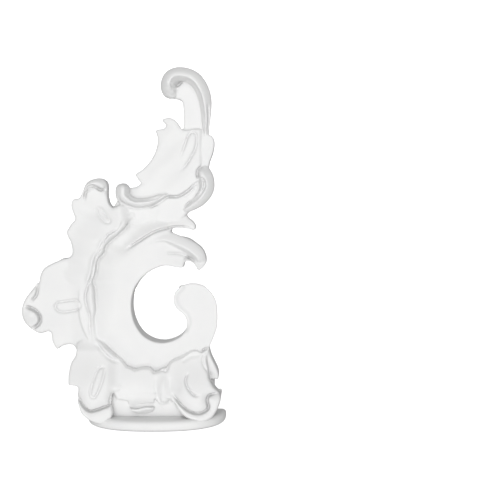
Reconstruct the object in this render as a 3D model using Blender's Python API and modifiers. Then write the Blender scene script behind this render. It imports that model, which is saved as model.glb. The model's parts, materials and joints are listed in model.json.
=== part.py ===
"""A carved scroll ornament that ends a moulding: one cast piece with a flat back and a half-oval foot.

The carving is drawn on a square sheet as an eye in front of the wall sees it. Each leaf or body is a slab cut
to an outline and given a shaped face, each curl is a tapering roll, and all of them are fused into one solid.
"""

import math

import bmesh
import bpy
import numpy as np

NAME = "scroll_ornament"

# Driving sizes, in metres.
HEIGHT = 0.350  # underside of the foot to the top of the curl
FOOT_HALF_WIDTH = 0.0695
FOOT_DEPTH = 0.045  # wall to the front of the foot
FOOT_THICKNESS = 0.0108
DRUM_HALF_WIDTH = 0.058  # the plain bowed block between the foot and the leaves
DRUM_DEPTH = 0.0265
DRUM_RISE = 0.034
BODY_DEPTH = 0.020  # the flat face of the big C-shaped body

# The sheet: one step is a 350th of the height, x runs right and y runs down.
STEP = HEIGHT / 350
SHEET_MIDDLE = 250.0
EYE_DISTANCE = 750.0  # steps from the wall to the eye
EYE_ABOVE = 58.0  # steps from the sheet's middle up to the eye's height
DRAWN_FROM = (113.0, 300.0)  # the point of the wall that the carving is measured from while it is made
FOOT_BELOW_EYE = 230.3
FOOT_CENTRE_X = 158.0
FOOT_SQUARENESS = 0.82  # 1 is a true half oval, less is squarer
DRUM_SQUARENESS = 0.5
FOOT_ROUNDING = 0.37  # radius of the ledge's edges, in its thickness
BEHIND = 12.0  # steps that blocks run on behind the wall plane before they are cut off there

FUSE_SIZE = 1.9  # steps, grain of the fused solid
SLAB_SIZE = 2.0  # steps, grain of each slab before it is fused
EDGE_GAIN = 0.5  # steps added to every slab's outline, for what its grain rounds off
ROLL_ROUND = 0.3  # 1 makes a roll's crown a half round, 0 a gable
TRIANGLES = 9000  # left in the carving, before the foot is added
TIP = 1  # third value of an outline point that is a sharp tip or notch

# Heights off the wall, in steps, at which each slab's outline is seen.
FLAT = 20.0  # the body's flat face while it is made, before it is set to BODY_DEPTH
LEAF_SIDE_RIM = 11.0
LOBE_RIM = 12.0
FOOT_RIM = 22.0
FOOT_RIGHT_RIM = 26.0
FOLD_RIM = 18.0
LEAFLET_RIM = 12.0
CURL_RIM = 30.0
STRAP_RIM = 10.0
LEAF_HIGH_RIM = 9.0
RIBBON_RIM = 12.0

TILT = math.atan2(EYE_ABOVE, EYE_DISTANCE)
FOCUS = EYE_DISTANCE / math.cos(TILT)


def on_wall(x, y, depth):
    """Where a point of the sheet lies on the plane this far in front of the wall, in steps from the eye."""
    across = np.asarray(x, float) - SHEET_MIDDLE
    down = np.asarray(y, float) - SHEET_MIDDLE
    forward = FOCUS * math.cos(TILT) - down * math.sin(TILT)
    fall = -FOCUS * math.sin(TILT) - down * math.cos(TILT)
    reach = (EYE_DISTANCE - depth) / forward
    return across * reach, fall * reach


ORIGIN_U, ORIGIN_V = on_wall(DRAWN_FROM[0], DRAWN_FROM[1], 0.0)


def place(x, y, depth):
    u, v = on_wall(x, y, depth)
    return u - ORIGIN_U, v - ORIGIN_V


def as_seen(u, v, depth):
    """The point of the sheet where the eye sees a point of the ornament."""
    forward = (EYE_DISTANCE - depth) * math.cos(TILT) - (v + ORIGIN_V) * math.sin(TILT)
    fall = (EYE_DISTANCE - depth) * math.sin(TILT) + (v + ORIGIN_V) * math.cos(TILT)
    return SHEET_MIDDLE + (u + ORIGIN_U) * FOCUS / forward, SHEET_MIDDLE - fall * FOCUS / forward


def smooth(points, closed=True, spacing=1.5):
    """A flowing line through the points, with a corner at each point marked as a tip."""
    corner = [len(p) > 2 and p[2] == TIP for p in points]
    place_of = np.array([p[:2] for p in points], float)
    return flowing(place_of, corner, closed, spacing)


def flowing(rows, corner, closed, spacing):
    count = len(rows)
    found = []
    last = count if closed else count - 1
    for i in range(last):
        j = (i + 1) % count
        before = rows[i - 1] if closed or i > 0 else rows[i]
        after = rows[(j + 1) % count] if closed or j + 1 < count else rows[j]
        start, end = rows[i], rows[j]
        length = np.linalg.norm(end[:2] - start[:2])
        leave = end - start if corner[i] else end - before
        arrive = end - start if corner[j] else after - start
        leave = leave / max(np.linalg.norm(leave[:2]), 1e-6) * length
        arrive = arrive / max(np.linalg.norm(arrive[:2]), 1e-6) * length
        pieces = max(1, int(round(length / spacing)))
        for k in range(pieces):
            t = k / pieces
            found.append(
                (2 * t**3 - 3 * t**2 + 1) * start
                + (t**3 - 2 * t**2 + t) * leave
                + (3 * t**2 - 2 * t**3) * end
                + (t**3 - t**2) * arrive
            )
    if not closed:
        found.append(rows[-1])
    return np.array(found)


def distance_to(x, y, line, closed=False):
    """Distance from each point to a line, and the share of the line's length where it is nearest."""
    a = line if closed else line[:-1]
    b = np.roll(line, -1, axis=0) if closed else line[1:]
    along = b - a
    squared = np.maximum((along**2).sum(axis=1), 1e-9)
    lengths = np.sqrt(squared)
    starts = np.concatenate([[0.0], np.cumsum(lengths)[:-1]])
    best = np.full(len(x), 1e9)
    share = np.zeros(len(x))
    for i in range(len(a)):
        t = ((x - a[i, 0]) * along[i, 0] + (y - a[i, 1]) * along[i, 1]) / squared[i]
        t = np.clip(t, 0.0, 1.0)
        d = np.hypot(x - a[i, 0] - t * along[i, 0], y - a[i, 1] - t * along[i, 1])
        nearer = d < best
        best[nearer] = d[nearer]
        share[nearer] = (starts[i] + t[nearer] * lengths[i]) / lengths.sum()
    return best, share


def grown(line, gain):
    """A closed line pushed outward by this much, to make up for the grain that rounds every edge off."""
    ahead = np.roll(line, -1, axis=0) - np.roll(line, 1, axis=0)
    ahead /= np.maximum(np.linalg.norm(ahead, axis=1, keepdims=True), 1e-6)
    area = np.sum(line[:, 0] * np.roll(line[:, 1], -1) - np.roll(line[:, 0], -1) * line[:, 1])
    return line + gain * math.copysign(1.0, area) * np.stack([ahead[:, 1], -ahead[:, 0]], axis=1)


def ease(t):
    t = np.clip(t, 0.0, 1.0)
    return t * t * (3 - 2 * t)


def shoulder(inside, width):
    """Rises from 0 at the edge to 1 this far inside it, as a quarter round."""
    return np.sqrt(1 - (1 - np.clip(inside / width, 0.0, 1.0)) ** 2)


def object_of(mesh, name, collection):
    made = bpy.data.objects.new(name, mesh)
    collection.objects.link(made)
    return made


def from_curve(curve, collection):
    """The mesh of a curve, with its caps welded."""
    holder = bpy.data.objects.new("curve", curve)
    collection.objects.link(holder)
    mesh = bpy.data.meshes.new_from_object(holder)
    bpy.data.objects.remove(holder)
    shape = bmesh.new()
    shape.from_mesh(mesh)
    bmesh.ops.remove_doubles(shape, verts=shape.verts, dist=0.0005)
    shape.to_mesh(mesh)
    shape.free()
    return mesh


def evaluated(holder):
    """The mesh an object has with its modifiers, and the object is removed."""
    graph = bpy.context.evaluated_depsgraph_get()
    mesh = bpy.data.meshes.new_from_object(holder.evaluated_get(graph))
    bpy.data.objects.remove(holder)
    return mesh


def remeshed(mesh, size, collection):
    holder = object_of(mesh, "grain", collection)
    grain = holder.modifiers.new("grain", "REMESH")
    grain.mode = "VOXEL"
    grain.voxel_size = size
    return evaluated(holder)


def corners_of(mesh):
    rows = np.empty(len(mesh.vertices) * 3)
    mesh.vertices.foreach_get("co", rows)
    return rows.reshape(-1, 3)


def set_corners(mesh, rows):
    mesh.vertices.foreach_set("co", rows.ravel())
    mesh.update()


def slab(outline, rim, face, collection, undercut=None):
    """A flat-backed slab cut to an outline seen at its rim; face(x, y, inside) is its height off the wall.

    undercut(x, y), where given, is how far right and up the foot of a wall stands from its rim.
    """
    seen = grown(smooth(outline), EDGE_GAIN)
    u, v = place(seen[:, 0], seen[:, 1], rim)
    curve = bpy.data.curves.new("outline", "CURVE")
    curve.dimensions = "2D"
    curve.fill_mode = "BOTH"
    curve.extrude = rim / 2
    line = curve.splines.new("POLY")
    line.points.add(len(u) - 1)
    for i in range(len(u)):
        line.points[i].co = (u[i], v[i], 0.0, 1.0)
    line.use_cyclic_u = True
    mesh = from_curve(curve, collection)
    rows = corners_of(mesh)
    set_corners(mesh, np.stack([rows[:, 0], rows[:, 2] - rim / 2, rows[:, 1]], axis=1))
    turn_outward(mesh)
    mesh = remeshed(mesh, SLAB_SIZE, collection)
    rows = corners_of(mesh)
    edge = np.stack([u, v], axis=1)
    inside, _ = distance_to(rows[:, 0], rows[:, 2], edge, closed=True)
    x, y = as_seen(rows[:, 0], rows[:, 2], rim)
    height = face(x, y, inside)
    nearer = (EYE_DISTANCE - height) / (EYE_DISTANCE - rim)
    rows[:, 0] = (rows[:, 0] + ORIGIN_U) * nearer - ORIGIN_U
    rows[:, 2] = (rows[:, 2] + ORIGIN_V) * nearer - ORIGIN_V
    back = rows[:, 1] > -0.3
    rows[:, 1] = np.where(back, 2.5, rows[:, 1] * height / rim)
    if undercut:
        right, up = undercut(x, y)
        behind = np.clip(1 + rows[:, 1] / height, 0.0, 1.0)
        rows[:, 0] += right * behind
        rows[:, 2] += up * behind
    set_corners(mesh, rows)
    return mesh


def turn_outward(mesh):
    shape = bmesh.new()
    shape.from_mesh(mesh)
    bmesh.ops.recalc_face_normals(shape, faces=shape.faces)
    shape.to_mesh(mesh)
    shape.free()


def roll(ridge, rise, points, collection):
    """A tapering roll through (x, y, depth of its middle, radius), joined to the wall by its own stem.

    Its crown is a soft ridge, this share of the radius to the right of the line's run, and this many
    radii high.
    """
    rows = flowing(np.array(points, float), [False] * len(points), False, 1.5)
    u, v = place(rows[:, 0], rows[:, 1], rows[:, 2])
    radius = rows[:, 3].copy()
    path = np.stack([u, -rows[:, 2], v], axis=1)
    run = np.concatenate([[0.0], np.cumsum(np.linalg.norm(np.diff(path, axis=0), axis=1))])
    for gap in (run, run[-1] - run):
        reach = np.clip(gap / np.maximum(radius, 1e-6), 0.0, 1.0)
        radius = radius * np.sqrt(np.maximum(1 - (1 - reach) ** 2, 0.003))
    curve = bpy.data.curves.new("roll", "CURVE")
    curve.dimensions = "3D"
    curve.bevel_depth = 1.0
    curve.bevel_resolution = 5
    curve.use_fill_caps = True
    line = curve.splines.new("POLY")
    line.points.add(len(path) - 1)
    for i in range(len(path)):
        line.points[i].co = (*path[i], 1.0)
        line.points[i].radius = radius[i]
    mesh = from_curve(curve, collection)
    rows = corners_of(mesh)
    gap = (rows[:, None, 0] - path[None, :, 0]) ** 2 + (rows[:, None, 2] - path[None, :, 2]) ** 2
    nearest = gap.argmin(axis=1)
    middle, size = path[nearest], radius[nearest]
    heading = np.gradient(path[:, [0, 2]], axis=0)[nearest]
    heading /= np.linalg.norm(heading, axis=1, keepdims=True)
    aside = (rows[:, 0] - middle[:, 0]) * heading[:, 1] - (rows[:, 2] - middle[:, 2]) * heading[:, 0]
    aside = np.clip(aside / size, -1.0, 1.0)
    gable = 1 - np.abs(aside - ridge) / np.where(aside > ridge, 1 - ridge, 1 + ridge)
    crown = ROLL_ROUND * np.sqrt(1 - aside**2) + (1 - ROLL_ROUND) * gable
    ahead = rows[:, 1] < middle[:, 1]
    rows[ahead, 1] = (middle[:, 1] - rise * size * crown)[ahead]
    rows[rows[:, 1] > middle[:, 1] + 0.35 * size, 1] = 2.5
    set_corners(mesh, rows)
    return mesh


def joined(meshes):
    whole = bmesh.new()
    for mesh in meshes:
        whole.from_mesh(mesh)
        bpy.data.meshes.remove(mesh)
    mesh = bpy.data.meshes.new("joined")
    whole.to_mesh(mesh)
    whole.free()
    return mesh


def outer_shell(mesh):
    """Drops the sealed pockets and crumbs that fusing leaves, keeping the piece with the most corners."""
    shape = bmesh.new()
    shape.from_mesh(mesh)
    waiting = set(shape.verts)
    pieces = []
    while waiting:
        edge = [waiting.pop()]
        piece = list(edge)
        while edge:
            for link in edge.pop().link_edges:
                for corner in link.verts:
                    if corner in waiting:
                        waiting.discard(corner)
                        edge.append(corner)
                        piece.append(corner)
        pieces.append(piece)
    pieces.sort(key=len)
    for piece in pieces[:-1]:
        bmesh.ops.delete(shape, geom=piece, context="VERTS")
    shape.to_mesh(mesh)
    shape.free()


def normals_of(mesh):
    rows = np.empty(len(mesh.vertices) * 3)
    mesh.vertices.foreach_get("normal", rows)
    return rows.reshape(-1, 3)


def engraved(mesh, strokes):
    """Raises or cuts each stroke (line, closed, half width, height) in the faces that look forward."""
    rows = corners_of(mesh)
    ahead = np.clip((-normals_of(mesh)[:, 1] - 0.25) / 0.4, 0.0, 1.0)
    x, y = as_seen(rows[:, 0], rows[:, 2], -rows[:, 1])
    lift = np.zeros(len(rows))
    for line, closed, half, height in strokes:
        path = smooth(line, closed)
        near = (
            (x > path[:, 0].min() - half)
            & (x < path[:, 0].max() + half)
            & (y > path[:, 1].min() - half)
            & (y < path[:, 1].max() + half)
        )
        if not near.any():
            continue
        gap, share = distance_to(x[near], y[near], path, closed)
        bump = np.clip(1 - gap / half, 0.0, 1.0)
        fade = 1.0 if closed else np.clip(np.minimum(share, 1 - share) * 7 + 0.15, 0.0, 1.0)
        lift[near] += height * bump * fade
    rows[:, 1] -= lift * ahead
    set_corners(mesh, rows)


# The frilled line where the leaves lie over the body, from the top round to the right foot.
FRILL_TOP = [
    (136, 216.5), (132, 218.5), (128, 220.5), (126.5, 223), (125, 226), (119, 232), (116, 235), (113, 237),
    (106, 243.5), (103.5, 247), (103, 251), (101, 254.5), (97, 258),
]
FRILL_SIDE = [
    (97, 258), (95.2, 262.5), (94.5, 271), (91.5, 279), (91.2, 283), (93.2, 288), (93.8, 298), (94.9, 310),
    (93.8, 319), (94.6, 325), (96.5, 337),
]
FRILL_FOOT = [
    (96.5, 337), (99, 340.2), (103, 342.6), (107, 347.6), (112, 352), (117, 356), (121, 359.2), (124, 363),
    (126.6, 366.8, TIP), (131, 368), (135, 370), (139, 368.8), (144, 367.9), (150, 368.2), (152.6, 371.4, TIP),
    (153.6, 372.8), (158, 371.6), (162, 370.6), (166.4, 371.4), (167.6, 368, TIP), (169.6, 363.4),
    (173.6, 360.2), (179, 358), (184, 355.6), (192, 350.4), (197, 350), (201.5, 351.9), (204.5, 348.9),
    (209, 348),
]
# The outer line of the lip along the frill.
LIP_SIDE = [
    (121, 221.5), (117, 229), (110, 233), (105, 238), (101, 246), (96.5, 255), (93.5, 266), (90.6, 278.5),
    (87.3, 286.7), (85, 296), (86.2, 305.3), (89.5, 316), (89.7, 326.3), (91, 337),
]
LIP_FOOT = [(95, 342), (99, 347), (103, 352.5), (108, 357.5), (113, 360.5), (119, 362.5)]
BODY = [
    (184, 210, TIP), (188, 218), (192, 221), (195.3, 226), (194.5, 229.8, TIP), (184, 228), (174, 227.8),
    (169, 230.8, TIP), (173, 235), (183, 237.5), (189, 239), (195, 243), (202, 249), (206, 258), (205, 264),
    (198.5, 270.8, TIP), (195.3, 265), (191, 261.2), (186.5, 260.6), (183.8, 263), (183, 267.6, TIP),
    (176, 267.0), (166, 265.2), (154.2, 268.6), (143.2, 275.8), (134.2, 288), (130.8, 303),
    (133, 320), (141.2, 334.3),
    (153.2, 341.8), (166, 342.8), (178.6, 338.2), (186.2, 329.8), (187, 321.4), (184.2, 315), (176, 307.6),
    (173.2, 298.4), (176.4, 290.6), (184.4, 285), (193, 283.4), (202.5, 285.2), (210.5, 291), (215.8, 300),
    (217.4, 312), (216.8, 327), (213.6, 337), (210, 345), (206, 362, TIP), (168, 384, TIP), (120, 372),
    (92, 345), (80, 318), (80, 285), (88, 258), (102, 234), (122, 212), (140, 203, TIP),
]
LEAF_SIDE = [
    (58, 280, TIP), (60, 260.5), (68, 258.5), (72.3, 254), (71.5, 244), (68, 236.5), (66.5, 232, TIP),
    (71.5, 224), (75.3, 219.5), (73, 212), (71.3, 206), (72.7, 199.6, TIP), (79, 198.5), (82.5, 192),
    (86.5, 183.6), (93, 179.8), (100, 178.6), (105, 181.5), (106.8, 187), (106.8, 196), (108.6, 204.5),
    (112.6, 208.8, TIP), (124, 203, TIP),
] + FRILL_TOP + FRILL_SIDE[1:4] + [(78, 290, TIP)]
LOBE = [
    (96, 362, TIP), (74.5, 361, TIP), (77, 351), (72.5, 344.6), (64, 345), (57, 349, TIP), (52.8, 342),
    (51.5, 333.4, TIP), (49, 331), (40, 333), (30, 327.5), (24, 320.5), (21.8, 311), (25, 300), (31.3, 291.5),
    (38.5, 285), (40.4, 276), (44, 269), (52, 264), (63, 259.6), (71.5, 257), (84, 246, TIP),
] + FRILL_SIDE + [(99, 350)]
FOOT_LEFT = [
    (111.7, 393, TIP), (110.8, 400), (110.2, 405), (111.7, 411), (111.8, 415.5), (109.5, 419.8),
    (105.5, 422.8), (99, 423.8), (92, 421.6), (86, 418), (81.4, 413.4), (79, 407), (77.6, 400),
    (78.5, 388.5, TIP), (77, 386.3),
    (68.2, 385, TIP), (69, 373), (71.5, 363), (76, 355), (77, 344, TIP), (92, 334, TIP),
] + FRILL_FOOT[:9] + [(122, 388, TIP)]
FOOT_LEFT_CREASE = [
    (77.5, 396), (81.2, 403.4), (85.3, 408.6), (90.6, 411.4), (97, 410.1), (104, 407.5), (109.3, 405.2),
    (110.5, 399), (113, 392),
]
FOOT_MIDDLE = [(100, 346, TIP), (117, 357, TIP)] + FRILL_FOOT[7:24] + [
    (190, 385, TIP), (175, 399), (167, 403.8), (161, 403.8), (156, 400, TIP), (129, 400.5, TIP),
    (117, 399.5, TIP), (113, 391), (96, 380, TIP),
]
FOOT_RIGHT = [
    (160, 371), (168, 367), (173.3, 360.4), (184, 355.6), (192, 350.6), (197, 350), (202, 352),
    (206, 350, TIP),
    (206.5, 360), (207.8, 371), (208.4, 378, TIP), (211.4, 384), (214.6, 388.6), (218, 392), (220.4, 397),
    (219.4, 403.5),
    (216.2, 411), (211, 418), (203, 421.5), (194, 420.6), (185.5, 417), (179, 410), (173.5, 401.5),
    (160, 396, TIP),
]
FOLD_RIGHT = [
    (204, 348, TIP), (208.2, 347.5, TIP), (210.6, 357), (215.4, 366.8), (218, 373.8), (218, 379.3, TIP),
    (208, 378.5, TIP), (200, 374, TIP), (197, 355, TIP),
]
FOOT_RIGHT_CREASE = [
    (173, 395), (177.8, 401.5), (182, 406.3), (187, 410.2), (193.3, 413.2), (199.5, 413.8), (205, 411.5),
    (208.4, 407.6), (207, 401.5), (208.2, 396.6), (212.8, 394.4), (217.2, 393),
]
STRAP = [
    (184, 132, TIP), (183.4, 105), (181, 99.8), (172, 97.5), (166, 88), (170, 76), (184, 72), (196, 73.5),
    (204.5, 82), (208.5, 95), (209.3, 112), (208, 134), (206, 146, TIP), (190, 146, TIP),
]
LEAF_HIGH = [
    (184, 130.5), (179.5, 127), (176, 121.8), (170, 118), (162, 119.5, TIP), (166, 127), (155.7, 130.3, TIP),
    (158, 140), (155.5, 152), (150, 162), (143, 169.5), (135.3, 174.5, TIP), (139, 180), (142, 183.5, TIP),
    (136, 187.3), (130, 188.3), (126, 191, TIP), (134, 203), (150, 205), (168, 202), (186, 196), (200, 180),
    (208.5, 167, TIP), (207.5, 150), (206, 140), (203, 130),
]
LEAFLET = [
    (203, 131, TIP), (208, 134.8), (211.5, 136), (213.8, 141), (213, 151), (209, 163), (208, 172, TIP),
    (200, 168, TIP),
]
CURL_UNDER = [
    (127, 394, TIP), (128.8, 405), (132, 411), (142, 413.8), (151.5, 412), (154, 406), (156, 394, TIP),
]
RIBBON = [
    (124, 190, TIP), (128, 203), (140, 206), (158, 199), (167, 193.5), (178, 195), (192, 187), (201, 176, TIP),
    (212, 176), (212, 190), (202, 202), (186, 214, TIP), (176, 222), (150, 222), (128, 224, TIP),
    (112, 210, TIP),
]
# Soft channels in the faces: the ball's inner rim, the hollow below the ribbon and a fold of the right foot.
BALL_RIM = [(183, 287), (175.5, 296), (178, 306), (186, 314), (189, 322), (186, 331)]
COVE = [(122, 246), (134, 233), (150, 224), (166, 219)]
FOOT_RIGHT_FOLD = [(184, 360.5), (190, 356.5), (198, 355)]


def groove(x, y, line, width, depth):
    """A soft channel along a line, for a face to be lowered by."""
    gap, _ = distance_to(x, y, smooth(line, False))
    return depth * np.exp(-((gap / width) ** 2))


def frill_gap(x, y):
    return distance_to(x, y, smooth(FRILL_TOP[:-1] + FRILL_SIDE[:-1] + FRILL_FOOT, False))[0]


def body_face(x, y, inside):
    """Flat but for a dished band along the frill, the falling claw and the hollow below the ribbon."""
    frill = frill_gap(x, y)
    reach = 13 + 9 * ease((345 - y) / 60)
    near = np.clip(1 - (frill - 2) / reach, 0.0, 1.0) ** 2
    dip = (3.0 + 4.6 * ease((330 - y) / 60)) * near * ease((218 - x) / 40)
    claw = 8.0 * ease((x - 150) / 48) * ease((278 - y) / 24)
    under_ribbon = 6.5 * ease((y - 236) / -30)
    ball = groove(x, y, BALL_RIM, 1.8, 1.6)
    cove = groove(x, y, COVE, 8.0, 4.0)
    return FLAT - np.maximum(dip, claw) - under_ribbon - cove - ball - 1.5 * (1 - shoulder(inside, 2.0))


def ball_undercut(x, y):
    """The wall of the ball that ends the body turns in under it, so that its outline is its face's edge."""
    share = ease((y - 278) / 6) * ease((x - 178) / 10) * ease((x - 2 * (y - 330) - 150) / 20)
    neck = ease((x - 204) / 8)
    return -0.17 * np.maximum(x - 192, 0.0) * share - 1.0 * neck, 0.17 * np.minimum(y - 312, 0.0) * share


def foot_undercut(x, y):
    """The upper wall of the right foot's last turn, drawn in so that only a thin shadow of it shows."""
    share = ease((x - 205) / 5) * ease((y - 376) / 4) * ease((396 - y) / 4)
    return -1.0 * share, -4.5 * share


def lip(frill, height):
    """The rolled rim that the leaves carry along the frilled line."""
    return height * np.exp(-(((frill - 3.2) / 2.4) ** 2))


def leaf_side_face(x, y, inside):
    frill = frill_gap(x, y)
    fold = 2.0 * ease(1 - np.hypot(x - 96, y - 190) / 24)
    ribs = 0.5 * np.cos((y - 0.35 * x) * 0.30) * ease((frill - 6) / 10)
    end = 7.0 * ease((x - 118) / 14) * ease((226 - y) / 12)
    rise = 6.5 * ease(1 - (frill - 5) / 32)
    return 10.5 + 1.5 * shoulder(inside, 3) + rise + fold + ribs + lip(frill, 2.0) - end


def lobe_face(x, y, inside):
    frill = frill_gap(x, y)
    swell = 2.5 * ease(1 - np.abs(y - 304) / 44)
    rise = 4.0 * ease(1 - (frill - 6) / 20)
    bead = 2.5 * ease(1 - np.hypot(x - 31, y - 316) / 9)
    return 11.0 + 2.0 * shoulder(inside, 3) + swell + rise + bead + lip(frill, 1.5)


def foot_middle_face(x, y, inside):
    rib = 1.8 * np.exp(-(((x - 163) / 3.0) ** 2)) - 1.4 * np.exp(-(((np.abs(x - 163) - 7) / 2.2) ** 2))
    return 18.5 + 2.0 * shoulder(inside, 3) + 9.5 * ease((y - 352) / 40) + rib * ease((y - 374) / 10)


def foot_left_face(x, y, inside):
    fall = ease((y - 342) / 56)
    crown = ease(1 - np.abs(x - 94 + 0.15 * (y - 380)) / 44)
    crease = groove(x, y, FOOT_LEFT_CREASE, 4.5, 2.5)
    rim = lip(frill_gap(x, y), 2.5) * ease((372 - y) / 12)
    face = 14.5 + 1.5 * shoulder(inside, 3) + (6 + 16 * fall) * (0.68 + 0.32 * crown) - crease + rim
    merge = ease((x - 106) / 14) * ease((394 - y) / 12)
    face = face * (1 - merge) + foot_middle_face(x, y, inside) * merge
    upper = ease((352 - y) / 16)
    return face * (1 - upper) + lobe_face(x, y, 6.0) * upper


def foot_right_face(x, y, inside):
    fall = ease((y - 348) / 56)
    crown = ease(1 - np.abs(x - 192) / 44)
    crease = groove(x, y, FOOT_RIGHT_CREASE, 4.5, 2.5)
    ridge = groove(x, y, FOOT_RIGHT_FOLD, 2.0, 1.2)
    face = 15 + 3 * shoulder(inside, 3) + (3 + 17 * fall) * (0.68 + 0.32 * crown) - crease - ridge
    merge = ease((184 - x) / 14) * ease((398 - y) / 12)
    return face * (1 - merge) + foot_middle_face(x, y, inside) * merge


def leaf_high_face(x, y, inside):
    rise = ease((x - 140) / 55)
    ribs = 0.5 * np.cos((y + 0.9 * x) * 0.22)
    side = 6.0 * ease((x - 198) / 9)
    return 8.0 + 1.5 * shoulder(inside, 4) + 4.5 * rise + ribs * ease(inside / 8) - side


def ribbon_face(x, y, inside):
    return 10.0 + 2.0 * shoulder(inside, 5)


def curl_face(x, y, inside):
    """The end of the middle leaf turns in under itself and comes out again as a short lip."""
    under = 30.5 - 7.0 * ease((y - 397) / 14)
    edge = 407.6 + 1.2 * np.cos((x - 136) * 0.24)
    return np.where(y < edge, under, 31.0 - 4.0 * ease((y - edge - 2) / 5))


def flat(height):
    return lambda x, y, inside: height - 1.2 * (1 - shoulder(inside, 2))


# Each roll is (ridge, rise, its run), and the run goes through (x, y, depth of its middle, radius).
ROLLS = [
    # the top curl and its stalk
    (0.35, 1.6, [(177.5, 91.8, 9, 7), (171, 91, 10.5, 8.4), (168, 83, 12, 7.2), (172.2, 76, 12.5, 6.9),
                 (181.5, 73.9, 12.5, 6.8), (192.7, 77.3, 12.5, 6.8), (200.4, 85.6, 12, 6.6),
                 (205.2, 98, 11.5, 6.2), (206.5, 112, 11, 4.9), (206.2, 126, 10.5, 3.6), (206, 137, 9.5, 2)]),
    # the ribbon's lower curl, round to its end at the left
    (0.35, 1.6, [(170, 195, 11, 2), (161, 198, 12, 3.6), (148, 203, 12.5, 5), (134, 203.4, 13, 5.4),
                 (123.2, 197, 13.5, 6.8), (122.4, 191, 14, 7), (122.8, 183, 14, 7)]),
    # the ribbon's right curl
    (-0.35, 1.5, [(184, 211, 11, 2.4), (192.5, 206, 12, 4.6), (201.2, 198.8, 13.5, 6.2), (206.9, 189, 14, 7.1),
                  (206.6, 179, 13, 7.4), (203.8, 173, 11.5, 7.4), (199, 168, 10, 6.6)]),
    # the small curl at the lobe's edge
    (0.0, 1.2, [(39.8, 283, 11, 2.4), (36.2, 289, 11.5, 2.8), (32.2, 295, 12, 3.2), (29.8, 301, 11.5, 3)]),
    # the turned-over top of the upper leaf
    (0.0, 1.2, [(87, 193, 11, 3.6), (89.5, 186.5, 12, 4.6), (96.6, 183.8, 12.5, 5.2), (102.3, 185.6, 12, 4.4),
                (103.9, 193, 11, 3), (104.6, 202, 9.5, 2.2)]),
    # the lower strand down to its claw
    (0.4, 1.1, [(126, 262, 11, 5), (137, 250.5, 12.5, 5.8), (150, 241.5, 13.5, 6.6), (163, 237, 14, 6.6),
                (177, 241.3, 13.5, 6.6), (189.5, 247, 13, 6.8), (198, 253.8, 12.5, 6.6), (201, 261, 12, 4.8),
                (199.4, 268, 10, 2)]),
]

PILL_SIDE = [
    (54.7, 307), (57, 303), (62, 301.8), (75.5, 300.2), (79.2, 303), (79.6, 307.5), (75, 310.5), (60, 311.9),
]
PILL_FOOT = [
    (90, 394), (92, 385), (95.5, 375), (99, 368.5), (103, 367.5), (104.2, 371.5), (102, 381), (98.5, 391),
    (94.5, 397.7), (91.2, 397.5),
]
POD_HIGH = [
    (180, 158), (182.8, 150), (185.4, 143), (188, 136), (192, 131.8), (196, 134.5), (196.7, 141), (195.4, 148),
    (191.6, 156), (186.6, 164), (180, 171),
]

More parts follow.
